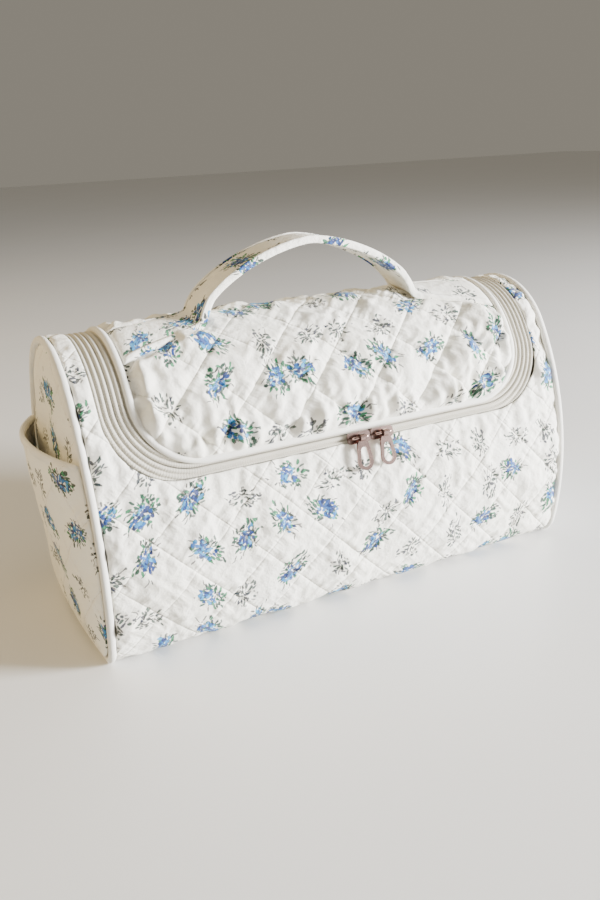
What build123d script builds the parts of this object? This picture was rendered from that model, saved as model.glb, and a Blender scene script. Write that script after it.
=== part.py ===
"""Quilted makeup bag with a zipped lid, padded handle and slip pockets at both ends.

Millimetres. The origin is the middle of the flat base, +X is the long way,
+Y goes to the back (the side with the lid's fold) and +Z is up.
Soft layers are plain closed solids of their true outer shape.
"""
from build123d import *
from math import asin, atan2, cos, hypot, sin, sqrt
import os

os.makedirs("parts", exist_ok=True)

# Overall size of the fabric body
END_X = 140.0  # outer face of an end panel
HALF_DEPTH = 61.0  # at the widest height
HEIGHT = 152.0
WIDEST_HEIGHT = 47.0
SIDE_RADIUS = 161.9  # front and back wall, one arc each
TOP_RADIUS = 44.0  # crown of the dome
BASE_CORNER = 13.0
SIDE_CENTRE = SIDE_RADIUS - HALF_DEPTH
CROWN_CENTRE_Z = HEIGHT - TOP_RADIUS

# Layers of a quilted wall, counted inwards from the outer face
FACE = 1.5
WADDING = 2.7
LINING = 0.8
WALL = FACE + WADDING + LINING
WRAP_FACE_END = 136.5
WRAP_INNER_END = 135.0
END_PANEL_INSET = 1.0
BINDING_WIDTH = 6.0

# Piping round each end
PIPING_RADIUS = 2.0
PIPING_INSET = 0.8
PIPING_X = 138.6

# Zip: its middle line is a rounded U that starts from the front chain height
CHAIN_HEIGHT = 92.5
CHAIN_HALF_WIDTH = 120.0
CHAIN_CORNER = 34.0
LID_HALF_WIDTH = 112.0
LID_EDGE_RISE = 2.9  # lid edge above the chain, at the front
LID_CORNER = 32.0
LID_BINDING = 2.5
BODY_HALF_WIDTH = 128.0
BODY_EDGE_RISE = -6.3
BODY_CORNER = 36.0
SEAM_ALLOWANCE = 4.0
TAPE = 1.0
GROOVE = 0.8  # half of the gap between the two rows of coil
COIL_EDGE = 2.6
COIL_STAND = 0.6  # height of the coil over the outer face
STOP_STAND = 1.4
STOP_LENGTH = 4.0
STOP_OVERHANG = 0.4

# Fold of the lid
HINGE_Y = 34.0
HINGE_GAP = 0.3
PROUD_GAP = 0.9  # for what stands over the outer face

# Sliders and pulls, in the plane of the front chain
SLIDER_LENGTH = 13.6
SLIDER_HALF_WIDTH = 3.0
SLIDER_Y = -2.6  # sliders hang on the body's row, below the middle line
SLIDER_CORNER = 2.0
SLIDER_GAP = 0.3
SLIDER_BITE = 0.2  # how far the web and lip run into the plates
TOP_PLATE = 1.2
BOTTOM_PLATE = 1.1
SLIDER_LIP = 0.9
WEB_HALF = 0.45
WEB_LENGTH = 5.0
WEB_START = 0.6  # from the slider's nose
NOSE_X = 8.0  # where the two sliders meet
NOSE_GAP = 0.2
BAIL_RADIUS = 0.7
BAIL_BEND = 1.4
BAIL_HALF_SPAN = 4.4
BAIL_STAND = 4.6
EYE_INNER = 1.05
EYE_OUTER = 1.95
EYE_WIDTH = 2.6
PULL_THICKNESS = 1.2
PULL_NECK = (4.2, 3.4)  # distance below the bail, radius
PULL_END = (12.6, 4.5)
PULL_WINDOW_TOP = (7.0, 2.0)
PULL_WINDOW_END = (12.4, 2.8)

# Handle
HANDLE_Y = -4.0
HANDLE_WIDTH = 22.0
HANDLE_THICKNESS = 5.0
HANDLE_FACE = 1.2
HANDLE_EDGE = 1.4
HANDLE_EDGE_PROUD = 0.4
HANDLE_SIDE_ROOM = 0.2
HANDLE_PIVOT_Z = 158.2
HANDLE_NECK = 1.8  # half width of the folded neck, and its depth below the pivot
HANDLE_BASE_X = 66.0
HANDLE_RISE = 33.6
HANDLE_CROWN_RADIUS = 58.0
TAB_THICKNESS = 3.0
TAB_INNER_X = 58.0
TAB_OUTER_X = 105.0
TAB_TURN = 15.0  # degrees that the sewn ends point forward

# End pockets
POCKET_INSET = 3.1
POCKET_FABRIC = 1.5
POCKET_FOOT = 4.0
POCKET_TOP = 103.0
POCKET_FOOT_BOW = 1.0
POCKET_MOUTH_BOW = 12.0
POCKET_SECTIONS = (25.0, WIDEST_HEIGHT, 75.0)  # heights between foot and mouth
POCKET_SEAM = 4.0  # solid fabric at the foot
POCKET_OVERRUN = 8.0
HEM_HEIGHT = 5.0
HEM_THICKNESS = 0.7
HEM_INSET = 0.4
HEM_CLEARANCE = 0.6

FAR = 200.0  # longer than any cut needs


def front_slope():
    """Lean of the front wall at the height of the chain, as an angle."""
    return asin((CHAIN_HEIGHT - WIDEST_HEIGHT) / SIDE_RADIUS)


def wall_y(height, inset):
    """Half depth of the body at a height, below the crown arc."""
    radius = SIDE_RADIUS - inset
    return sqrt(radius**2 - (height - WIDEST_HEIGHT) ** 2) - SIDE_CENTRE


def crown_z(y):
    """Height of the outer face on the crown arc."""
    return CROWN_CENTRE_Z + sqrt(TOP_RADIUS**2 - y**2)


def profile(inset):
    """Cross-section of the bag, a flat-based dome of tangent arcs."""
    side = SIDE_RADIUS - inset
    crown = TOP_RADIUS - inset
    run = SIDE_RADIUS - TOP_RADIUS
    join_y = side * SIDE_CENTRE / run - SIDE_CENTRE
    join_z = side * (CROWN_CENTRE_Z - WIDEST_HEIGHT) / run + WIDEST_HEIGHT
    foot = wall_y(inset, inset)
    widest = HALF_DEPTH - inset
    with BuildSketch(Plane.YZ) as sketch:
        with BuildLine():
            Line((-foot, inset), (foot, inset))
            ThreePointArc((foot, inset), (widest, WIDEST_HEIGHT), (join_y, join_z))
            ThreePointArc((join_y, join_z), (0, CROWN_CENTRE_Z + crown), (-join_y, join_z))
            ThreePointArc((-join_y, join_z), (-widest, WIDEST_HEIGHT), (-foot, inset))
        make_face()
        corners = sketch.vertices().sort_by(Axis.Y)[:2]
        fillet(corners, radius=BASE_CORNER - inset)
    return sketch.sketch


def prism(inset, from_x, to_x):
    """The cross-section run along X."""
    return Pos(from_x, 0, 0) * extrude(profile(inset), amount=to_x - from_x)


def wrap_layer(outer, inner, half_length):
    """One layer of the wall that goes round the base, front, dome and back."""
    return prism(outer, -half_length, half_length) - prism(inner, -FAR, FAR)


def chain_plane():
    """Plane that lies on the front wall at the chain: local x is X, local y is up the wall."""
    lean = front_slope()
    return Plane(
        origin=(0, -wall_y(CHAIN_HEIGHT, 0), CHAIN_HEIGHT),
        x_dir=(1, 0, 0),
        z_dir=(0, -cos(lean), sin(lean)),
    )


def u_block(half_width, rise, corner, grow=0.0):
    """Everything inside a U-shaped outline drawn on the front wall."""
    width = 2 * (half_width + grow)
    with BuildSketch(chain_plane()) as sketch:
        with Locations((0, rise - grow + FAR / 2)):
            Rectangle(width, FAR)
        low = sketch.vertices().sort_by(Axis.Y)[:2]
        fillet(low, radius=corner + grow)
    return extrude(sketch.sketch, amount=FAR, both=True)


def chain_block(grow):
    """Inside of the zip's middle line, made larger or smaller."""
    return u_block(CHAIN_HALF_WIDTH, 0.0, CHAIN_CORNER, grow)


def lid_block(grow=0.0):
    return u_block(LID_HALF_WIDTH, LID_EDGE_RISE, LID_CORNER, grow)


def body_block(grow=0.0):
    return u_block(BODY_HALF_WIDTH, BODY_EDGE_RISE, BODY_CORNER, grow)


def lid_side(gap):
    """Everything in front of the fold of the lid."""
    lean = asin(HINGE_Y / TOP_RADIUS)
    fold = Plane(origin=(0, HINGE_Y, crown_z(HINGE_Y)), x_dir=(1, 0, 0), z_dir=(0, -cos(lean), sin(lean)))
    block = Box(2 * FAR, 2 * FAR, 2 * FAR, align=(Align.CENTER, Align.CENTER, Align.MIN))
    return fold.offset(gap).location * block


def piping():
    """Corded edge round the right end, swept arc by arc and pressed flat under the base."""
    cord = None
    for edge in profile(PIPING_INSET).faces()[0].outer_wire().edges():
        section = Plane(origin=edge @ 0, z_dir=edge % 0) * Circle(PIPING_RADIUS)
        length = sweep(section, path=edge)
        cord = length if cord is None else cord + length
    above_floor = Box(2 * FAR, 2 * FAR, 2 * FAR, align=(Align.CENTER, Align.CENTER, Align.MIN))
    return Pos(PIPING_X, 0, 0) * cord & above_floor


def end_slab(from_x, to_x, inset):
    return prism(inset, from_x, to_x)


def mouth_bow(height):
    """How far the pocket stands away from the end panel at a height."""
    share = (height - POCKET_FOOT) / (POCKET_TOP - POCKET_FOOT)
    return POCKET_FOOT_BOW + share * (POCKET_MOUTH_BOW - POCKET_FOOT_BOW)


def pocket_volume(heights, thickness):
    """Space between the end panel and a bowed sheet, thickness outside the pocket's inner face."""
    sections = []
    for height in heights:
        half = wall_y(height, POCKET_INSET) - POCKET_FABRIC + thickness
        bow = mouth_bow(height)
        edge_x = END_X + max(thickness, 0.0)
        with BuildSketch(Plane.XY.offset(height)) as section:
            with BuildLine():
                Line((END_X, half), (END_X, -half))
                if thickness > 0:
                    Line((END_X, -half), (edge_x, -half))
                ThreePointArc((edge_x, -half), (END_X + bow + thickness, 0), (edge_x, half))
                if thickness > 0:
                    Line((edge_x, half), (END_X, half))
            make_face()
        sections.append(section.sketch)
    return loft(sections)


def pocket_panel():
    """Slip pocket sewn over the right end panel, its mouth standing open."""
    outside = pocket_volume([POCKET_FOOT, *POCKET_SECTIONS, POCKET_TOP], POCKET_FABRIC)
    hollow = pocket_volume([POCKET_FOOT + POCKET_SEAM, *POCKET_SECTIONS, POCKET_TOP + POCKET_OVERRUN], 0.0)
    outline = end_slab(END_X - PIPING_RADIUS, END_X + FAR, POCKET_INSET)
    return (outside - hollow) & outline


def pocket_binding(panel):
    """Bound hem folded over the mouth of the right pocket."""
    low = POCKET_TOP - HEM_HEIGHT + HEM_THICKNESS
    high = POCKET_TOP + HEM_THICKNESS
    outside = pocket_volume([low, high], POCKET_FABRIC + HEM_THICKNESS)
    hollow = pocket_volume([low - HEM_HEIGHT, high + HEM_HEIGHT], -HEM_THICKNESS)
    outline = end_slab(END_X + HEM_CLEARANCE, END_X + FAR, POCKET_INSET + HEM_INSET)
    return ((outside - hollow) & outline) - panel


def rounded_plate(centre_x, low, high):
    """Slider plate, between two heights over the wall."""
    with BuildSketch(chain_plane().offset(low)) as sketch:
        with Locations((centre_x, SLIDER_Y)):
            RectangleRounded(SLIDER_LENGTH, 2 * SLIDER_HALF_WIDTH, SLIDER_CORNER)
    return extrude(sketch.sketch, amount=high - low)


def chain_bar(from_x, to_x, from_y, to_y, low, high):
    """Straight bar in the chain's plane."""
    with BuildSketch(chain_plane().offset(low)) as sketch:
        with Locations(((from_x + to_x) / 2, (from_y + to_y) / 2)):
            Rectangle(abs(to_x - from_x), to_y - from_y)
    return extrude(sketch.sketch, amount=high - low)


def slider_centre(side):
    return NOSE_X + side * (SLIDER_LENGTH / 2 + NOSE_GAP)


def slider_body(side):
    """Top and bottom plates joined by a web in the zip's groove, with a lip over the body's coil."""
    centre = slider_centre(side)
    top_low = COIL_STAND + SLIDER_GAP
    bottom_high = -FACE - TAPE - SLIDER_GAP
    lip_low = -FACE + SLIDER_GAP
    lip_half = SLIDER_LENGTH / 2 - SLIDER_CORNER
    web_start = NOSE_X + side * (NOSE_GAP + WEB_START)
    body = rounded_plate(centre, top_low, top_low + TOP_PLATE)
    body += rounded_plate(centre, bottom_high - BOTTOM_PLATE, bottom_high)
    web_end = web_start + side * WEB_LENGTH
    web_top = SLIDER_Y + SLIDER_HALF_WIDTH
    lip_high = top_low + SLIDER_BITE
    body += chain_bar(web_start, web_end, -WEB_HALF, web_top, bottom_high - SLIDER_BITE, lip_high)
    lip_y = SLIDER_Y - SLIDER_HALF_WIDTH
    body += chain_bar(centre - lip_half, centre + lip_half, lip_y, lip_y + SLIDER_LIP, lip_low, lip_high)
    return body


def bail(side):
    """Wire bridge on a slider that its pull hangs from."""
    centre = slider_centre(side)
    foot = COIL_STAND + SLIDER_GAP + TOP_PLATE
    origin = chain_plane().from_local_coords((0, SLIDER_Y, 0))
    upright = Plane(origin=origin, x_dir=(1, 0, 0), z_dir=-chain_plane().y_dir)
    with BuildLine(upright) as line:
        FilletPolyline(
            (centre - BAIL_HALF_SPAN, foot),
            (centre - BAIL_HALF_SPAN, BAIL_STAND),
            (centre + BAIL_HALF_SPAN, BAIL_STAND),
            (centre + BAIL_HALF_SPAN, foot),
            radius=BAIL_BEND,
        )
    path = line.wire()
    section = Plane(origin=path @ 0, z_dir=path % 0) * Circle(BAIL_RADIUS)
    return sweep(section, path=path)


def tapered_loop(plane, centre, top, end):
    """Outline round two circles, each given by its distance below the bail and its radius."""
    with BuildSketch(plane) as sketch:
        for drop, radius in (top, end):
            with Locations((centre, SLIDER_Y - drop)):
                Circle(radius)
        make_hull()
    return sketch.sketch


def pull(side):
    """Pull: an eye round the bail and a rounded open loop below it."""
    centre = slider_centre(side)
    middle = chain_plane().offset(BAIL_STAND)
    eye_plane = Plane(origin=middle.from_local_coords((centre, SLIDER_Y, 0)), z_dir=(1, 0, 0))
    eye = extrude(eye_plane * Circle(EYE_OUTER), amount=EYE_WIDTH / 2, both=True)
    plate = tapered_loop(middle, centre, PULL_NECK, PULL_END)
    window = tapered_loop(middle, centre, PULL_WINDOW_TOP, PULL_WINDOW_END)
    flat = extrude(plate, amount=PULL_THICKNESS / 2, both=True)
    flat -= extrude(window, amount=PULL_THICKNESS, both=True)
    bore = extrude(eye_plane * Circle(EYE_INNER), amount=EYE_WIDTH, both=True)
    return (eye + flat) - bore


def zip_stops():
    """Metal stops at the two ends of the body's row of coil."""
    ring = wrap_layer(-STOP_STAND, FACE, WRAP_INNER_END)
    row = chain_block(COIL_EDGE + STOP_OVERHANG) - chain_block(GROOVE)
    near_fold = lid_side(PROUD_GAP) - lid_side(PROUD_GAP + STOP_LENGTH)
    pair = ring & row & near_fold
    half = Box(FAR, 2 * FAR, 2 * FAR)
    return pair & Pos(-FAR / 2, 0, 0) * half, pair & Pos(FAR / 2, 0, 0) * half


def flank_angle():
    """Slope of the straight flanks that touch the handle's crown arc."""
    below = HANDLE_CROWN_RADIUS - HANDLE_RISE
    return asin(HANDLE_CROWN_RADIUS / hypot(HANDLE_BASE_X, below)) - atan2(below, HANDLE_BASE_X)


def under_arch(inset, from_y, to_y):
    """Everything under a line at a depth below the handle's outer face: a crown arc and two flanks."""
    slope = flank_angle()
    radius = HANDLE_CROWN_RADIUS - inset
    centre_z = HANDLE_PIVOT_Z - HANDLE_NECK + HANDLE_RISE - HANDLE_CROWN_RADIUS
    shoulder_x = radius * sin(slope)
    shoulder_z = centre_z + radius * cos(slope)
    foot_x = shoulder_x + FAR * cos(slope)
    foot_z = shoulder_z - FAR * sin(slope)
    with BuildSketch(Plane.XZ.offset(-from_y)) as sketch:
        with BuildLine():
            Line((-foot_x, foot_z), (-shoulder_x, shoulder_z))
            ThreePointArc((-shoulder_x, shoulder_z), (0, centre_z + radius), (shoulder_x, shoulder_z))
            Line((shoulder_x, shoulder_z), (foot_x, foot_z))
            Line((foot_x, foot_z), (-foot_x, foot_z))
        make_face()
    return extrude(sketch.sketch, amount=-(to_y - from_y))


def arch(thickness_in, thickness_out, from_y, to_y):
    """Handle arch between two lines below its outer face, narrowed where it folds."""
    base_z = HANDLE_PIVOT_Z - HANDLE_NECK
    solid = under_arch(thickness_out, from_y, to_y) - under_arch(thickness_in, from_y, to_y)
    wide = HANDLE_WIDTH / 2 + HANDLE_EDGE + HANDLE_SIDE_ROOM
    shoulder = base_z + wide - HANDLE_NECK
    with BuildSketch(Plane.YZ) as outline:
        with BuildLine():
            Polyline(
                (HANDLE_Y - HANDLE_NECK, base_z),
                (HANDLE_Y + HANDLE_NECK, base_z),
                (HANDLE_Y + wide, shoulder),
                (HANDLE_Y + wide, FAR),
                (HANDLE_Y - wide, FAR),
                (HANDLE_Y - wide, shoulder),
                close=True,
            )
        make_face()
    return solid & extrude(outline.sketch, amount=FAR, both=True)


def handle_parts():
    """Padded strap: cover, filling and a bound edge front and back."""
    front = HANDLE_Y - HANDLE_WIDTH / 2
    back = HANDLE_Y + HANDLE_WIDTH / 2
    core = arch(HANDLE_THICKNESS - HANDLE_FACE, HANDLE_FACE, front + HANDLE_FACE, back - HANDLE_FACE)
    cover = arch(HANDLE_THICKNESS, 0.0, front, back) - core
    proud = HANDLE_EDGE_PROUD
    front_edge = arch(HANDLE_THICKNESS + proud, -proud, front - HANDLE_EDGE, front)
    back_edge = arch(HANDLE_THICKNESS + proud, -proud, back, back + HANDLE_EDGE)
    return {
        "handle_cover": cover,
        "handle_core": core,
        "handle_front_edge": front_edge,
        "handle_back_edge": back_edge,
    }


def handle_tab(side):
    """Flat end of the strap, sewn along the lid."""
    length = TAB_OUTER_X - TAB_INNER_X
    block = Pos(length / 2, 0, 0) * Box(length, HANDLE_WIDTH, HEIGHT)
    turned = Rot(0, 0, -TAB_TURN) * block
    if side < 0:
        turned = mirror(turned, about=Plane.YZ)
    block = Pos(side * TAB_INNER_X, HANDLE_Y, HEIGHT) * turned
    return wrap_layer(-TAB_THICKNESS, 0.0, WRAP_INNER_END) & block


def wall_layers():
    """Face, wadding and lining of the body and of the lid."""
    cut = body_block() & lid_side(0.0)
    wide_cut = body_block(SEAM_ALLOWANCE) & lid_side(0.0)
    lid_space = lid_block(-LID_BINDING) & lid_side(HINGE_GAP)
    face = wrap_layer(0.0, FACE, WRAP_FACE_END)
    wadding = wrap_layer(FACE, FACE + WADDING, WRAP_INNER_END)
    lining = wrap_layer(FACE + WADDING, WALL, WRAP_INNER_END)
    return {
        "body_outer": face - cut,
        "body_wadding": wadding - wide_cut,
        "body_lining": lining - cut,
        "lid_outer": face & lid_space,
        "lid_wadding": wadding & lid_space,
        "lid_lining": lining & lid_space,
    }


def zip_rows():
    """Tapes and coils of the zip, and the bound edge of the lid."""
    front = lid_side(HINGE_GAP)
    tape = wrap_layer(FACE, FACE + TAPE, WRAP_INNER_END) & front
    coil = wrap_layer(-COIL_STAND, FACE, WRAP_INNER_END) & lid_side(PROUD_GAP)
    stop_space = lid_side(PROUD_GAP + STOP_LENGTH)
    edge = wrap_layer(-COIL_STAND, WALL, WRAP_INNER_END) & lid_side(PROUD_GAP)
    return {
        "body_zip_tape": tape & (body_block(SEAM_ALLOWANCE) - chain_block(GROOVE)),
        "lid_zip_tape": tape & (chain_block(-GROOVE) - lid_block()),
        "body_zip_coil": coil & (chain_block(COIL_EDGE) - chain_block(GROOVE)) & stop_space,
        "lid_zip_coil": coil & (chain_block(-GROOVE) - chain_block(-COIL_EDGE)),
        "lid_edge_binding": edge & (lid_block() - lid_block(-LID_BINDING)),
    }


def end_parts(side):
    """Layers of one end, made at the right and mirrored for the left."""
    cord = piping()
    face = end_slab(END_X - FACE, END_X, END_PANEL_INSET) - cord
    wadding = end_slab(END_X - FACE - WADDING, END_X - FACE, FACE) - cord
    lining = end_slab(WRAP_INNER_END, WRAP_INNER_END + LINING, FACE)
    panel = pocket_panel()
    ring = wrap_layer(WALL, WALL + LINING, WRAP_INNER_END)
    seam = ring & Pos(WRAP_INNER_END - BINDING_WIDTH / 2, 0, 0) * Box(BINDING_WIDTH, FAR, 2 * FAR)
    parts = {
        "piping": cord,
        "end_panel": face,
        "end_wadding": wadding,
        "end_lining": lining,
        "seam_binding": seam,
        "pocket_panel": panel,
        "pocket_binding": pocket_binding(panel),
    }
    if side > 0:
        return parts
    return {name: mirror(part, about=Plane.YZ) for name, part in parts.items()}


def build():
    """Every sub-part of the bag, by name."""
    parts = wall_layers()
    parts.update(zip_rows())
    parts["zip_stop_left"], parts["zip_stop_right"] = zip_stops()
    for side, word in ((-1, "left"), (1, "right")):
        for name, part in end_parts(side).items():
            parts[word + "_" + name] = part
        parts["handle_tab_" + word] = handle_tab(side)
        parts["slider_" + word] = slider_body(side)
        parts["slider_" + word + "_bail"] = bail(side)
        parts["pull_" + word] = pull(side)
    parts.update(handle_parts())
    return parts


for node, shape in build().items():
    export_step(shape, "parts/" + node + ".step")
    print(node, len(shape.solids()), round(shape.volume, 1))
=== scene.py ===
"""The makeup bag's looks: quilted printed cotton, zip, piping, pockets, handle and metal.

Works in the CAD frame. Lengths are in millimetres until a mesh is made. A place on the wall that
goes round the bag is (x, run), where run is the distance round its cross-section.
"""

from math import acos, asin, atan2, copysign, cos, pi, radians, sin, sqrt, tan

import bpy
import numpy as np
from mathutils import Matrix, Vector


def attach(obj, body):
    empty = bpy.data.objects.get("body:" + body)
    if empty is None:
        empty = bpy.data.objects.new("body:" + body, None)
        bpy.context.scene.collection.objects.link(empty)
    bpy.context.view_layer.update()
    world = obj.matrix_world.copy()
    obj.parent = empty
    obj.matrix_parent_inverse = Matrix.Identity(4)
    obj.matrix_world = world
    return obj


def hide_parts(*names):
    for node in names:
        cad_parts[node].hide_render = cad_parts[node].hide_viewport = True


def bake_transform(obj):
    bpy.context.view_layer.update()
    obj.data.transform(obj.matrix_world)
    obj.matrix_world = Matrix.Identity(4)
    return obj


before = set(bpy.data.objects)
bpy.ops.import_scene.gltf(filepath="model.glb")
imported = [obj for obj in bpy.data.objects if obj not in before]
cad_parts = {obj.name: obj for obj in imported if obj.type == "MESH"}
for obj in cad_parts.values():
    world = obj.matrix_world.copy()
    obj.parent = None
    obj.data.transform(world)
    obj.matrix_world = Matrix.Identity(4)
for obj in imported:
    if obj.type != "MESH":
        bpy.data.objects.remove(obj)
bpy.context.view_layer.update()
MM = 0.001

# Cross-section of the bag, as in the CAD
HALF_DEPTH = 61.0
HEIGHT = 152.0
WIDEST_HEIGHT = 47.0
SIDE_RADIUS = 161.9
TOP_RADIUS = 44.0
BASE_CORNER = 13.0
SIDE_CENTRE = SIDE_RADIUS - HALF_DEPTH
CROWN_Z = HEIGHT - TOP_RADIUS
WALL = 5.0
WRAP_END = 137.0  # half length of the covering that goes round the bag
LINING_END = 134.5  # half length of its lining

# Outlines of the zip, as in the CAD: half width, rise over the chain's height, corner radius
CHAIN_HEIGHT = 92.5
CHAIN = (120.0, 0.0, 34.0)
LID_EDGE = (112.0, 2.9, 32.0)
BODY_EDGE = (128.0, -6.3, 36.0)
BODY_TRIM = (127.5, -4.4, 34.5)  # where the printed fabric really ends
HINGE_Y = 34.0
OPENING_END = 60.0  # from the fold forwards, the opening has a straight end
FAR_UP = 90.0  # rise of every place behind the top
HALVINGS = 40  # when a height is looked up

# Zip tapes and coil
RIB = 2.75
RIB_HEIGHT = 1.6
TAPE_DEPTH = 1.5
TAPE_GAP = 0.12
TAPE_THICKNESS = 0.8
BODY_TUCK = 1.8  # of the tape under the body's fabric
LID_TUCK = 0.4  # and under the lid's cord
TAPE_STEPS = 28
COIL_OUT = 1.0
COIL_DEPTH = 3.0
COIL_RADIUS = 0.85

# Quilting: height of the puffs, amount of small folds, then slack, pressure and cap of the simulation
DIAMOND = 38.0
CELLS_PER_DIAMOND = 20
GRID = DIAMOND / CELLS_PER_DIAMOND
BODY_QUILT = {"puff": 3.0, "creasing": 1.3, "slack": 0.05, "pressure": 3.0, "cap": 2.5}
LID_QUILT = {"puff": 6.0, "creasing": 2.0, "slack": 0.08, "pressure": 4.0, "cap": 3.5}
SINK_CAP = 0.8  # inwards
SLIDE_CAP = 1.2  # sideways
CLOTH_STEPS = 16
FABRIC = 1.4
LINING_FABRIC = 0.8

# Small folds: height, and how far they reach from their seam
QUILT_FOLD = (0.35, 8.0)
ZIP_FOLD = (2.2, 15.0)
PIPING_FOLD = (0.7, 14.0)
SLOW_WAVE = 0.6

# Flatter cloth on both sides of the fold, so the open lid has room
FOLD_REACH = 20.0
FOLD_LAP = 8.0  # of the lid's lining over the body's, inside the fold

# Fabric under the hanging pulls stays low
PULL_CALM = 0.78
PULL_REACH = 24.0

# Piping and the lid's rolled edge
PIPING_X = 138.6
PIPING_RADIUS = 2.0
LID_ROLL_RADIUS = 1.9

# Handle
HANDLE_Y = -4.0
HANDLE_WIDTH = 22.0
STRAP_THICKNESS = 3.6
STRAP_LIFT = 0.3  # of the sewn ends over the lid
STRAP_EDGE = (2.2, 0.5)  # width of its piping, and how much thicker than the strap that is
ARCH_HALF = 63.5  # from the middle to a foot of the arch
ARCH_POWER = 1.55  # 2 is an ellipse, 1 a triangle
HANDLE_TOP = 189.0
TAB_INNER_X = 58.0
TAB_END_X = 109.5
TAB_TURN = radians(15.0)  # the sewn ends point a little forward
STRAP_PRINT_SHIFT = 12.25  # puts a row of motifs along its middle

# Ends and pockets
ENDS = ((-1, "left"), (1, "right"))
END_FACE = 138.2
END_DOME = (3.0, 14.0)  # height, and how far in from the rim it grows
END_PUFF = 1.6
POCKET_FACE = 141.0
POCKET_PUFF = 1.3
POCKET_TOP = 103.0
POCKET_FOOT = 5.0
POCKET_INSET = 3.1
POCKET_SHIFT = 8.0  # of the fullest place, towards the back
FOOT_BOW = 2.0
MOUTH_BOW = 12.5
HEM = 5.0
HEM_RADIUS = 1.4


# ---- cross-section


def grow(value, start, span):
    """0 up to start, 1 from start + span on, and straight between them."""
    return np.clip((value - start) / span, 0, 1)


def corner_centre_y():
    reach = SIDE_RADIUS - BASE_CORNER
    return sqrt(reach**2 - (WIDEST_HEIGHT - BASE_CORNER) ** 2) - SIDE_CENTRE


CORNER_Y = corner_centre_y()
CORNER_TURN = acos((WIDEST_HEIGHT - BASE_CORNER) / (SIDE_RADIUS - BASE_CORNER))
SIDE_LOW = pi / 2 - CORNER_TURN
SIDE_HIGH = atan2(CROWN_Z - WIDEST_HEIGHT, SIDE_CENTRE)
RUN_BASE = CORNER_Y
RUN_CORNER = RUN_BASE + BASE_CORNER * CORNER_TURN
RUN_SIDE = RUN_CORNER + SIDE_RADIUS * (SIDE_LOW + SIDE_HIGH)
RUN_CROWN = RUN_SIDE + TOP_RADIUS * (pi / 2 - SIDE_HIGH)
GIRTH = 2 * RUN_CROWN
FOLD_RUN = RUN_CROWN + TOP_RADIUS * asin(HINGE_Y / TOP_RADIUS)


def section(run):
    """Points and outward normals at distances round the bag.

    Distance 0 is the middle of the base. It grows up the front, over the top and down the back.
    """
    run = np.mod(np.asarray(run, dtype=float), GIRTH)
    back = run > RUN_CROWN
    half = np.where(back, GIRTH - run, run)
    turn_corner = (half - RUN_BASE) / BASE_CORNER
    turn_side = (half - RUN_CORNER) / SIDE_RADIUS - SIDE_LOW
    turn_crown = SIDE_HIGH + (half - RUN_SIDE) / TOP_RADIUS
    on_base = half <= RUN_BASE
    on_corner = (half > RUN_BASE) & (half <= RUN_CORNER)
    on_side = (half > RUN_CORNER) & (half <= RUN_SIDE)
    places = [on_base, on_corner, on_side]
    out = np.select(places, [0 * half, np.sin(turn_corner), np.cos(turn_side)], np.cos(turn_crown))
    up = np.select(places, [0 * half - 1, -np.cos(turn_corner), np.sin(turn_side)], np.sin(turn_crown))
    y = np.select(
        places,
        [half, CORNER_Y + BASE_CORNER * out, SIDE_RADIUS * out - SIDE_CENTRE],
        TOP_RADIUS * out,
    )
    z = np.select(
        places,
        [0 * half, BASE_CORNER + BASE_CORNER * up, WIDEST_HEIGHT + SIDE_RADIUS * up],
        CROWN_Z + TOP_RADIUS * up,
    )
    sign = np.where(back, 1.0, -1.0)
    return y * sign, z, out * sign, up


def on_wrap(x, run, lift):
    """Positions over the wall that goes round the bag, lifted along the normal."""
    y, z, ny, nz = section(run)
    return np.stack([x + 0 * y, y + lift * ny, z + lift * nz], axis=-1)


def wall_half(height, inset):
    """Half depth of the bag at a height."""
    radius = SIDE_RADIUS - inset
    return np.sqrt(radius**2 - (height - WIDEST_HEIGHT) ** 2) - SIDE_CENTRE


LEAN = asin((CHAIN_HEIGHT - WIDEST_HEIGHT) / SIDE_RADIUS)
CHAIN_Y = -float(wall_half(CHAIN_HEIGHT, 0.0))


def rise(run):
    """Height over the chain, measured up the front wall's slope."""
    y, z, _, _ = section(run)
    over = (y - CHAIN_Y) * sin(LEAN) + (z - CHAIN_HEIGHT) * cos(LEAN)
    return np.where(np.asarray(run) > RUN_CROWN, FAR_UP, over)


def run_at(height):
    """Distance round the bag of a rise over the chain, on the front, by halving."""
    low, high = RUN_CORNER, RUN_CROWN
    for _ in range(HALVINGS):
        middle = (low + high) / 2
        if rise(middle) < height:
            low = middle
        else:
            high = middle
    return (low + high) / 2


def outside_u(x, run, edge, extra=0.0):
    """Signed distance from a U-shaped outline made wider by extra, negative inside it."""
    width, bottom, corner = edge[0] + extra, edge[1] - extra, edge[2] + extra
    across = np.abs(x) - (width - corner)
    down = (bottom + corner) - rise(run)
    far = np.hypot(np.maximum(across, 0), np.maximum(down, 0)) + np.minimum(np.maximum(across, down), 0)
    return far - corner


def outside_opening(edge):
    """Function that is positive where the body's cloth lies, round the lid's opening."""

    def keep(x, run):
        cut = outside_u(x, run, edge)
        return np.where(run > FOLD_RUN - OPENING_END, np.maximum(cut, run - FOLD_RUN), cut)

    return keep


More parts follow.
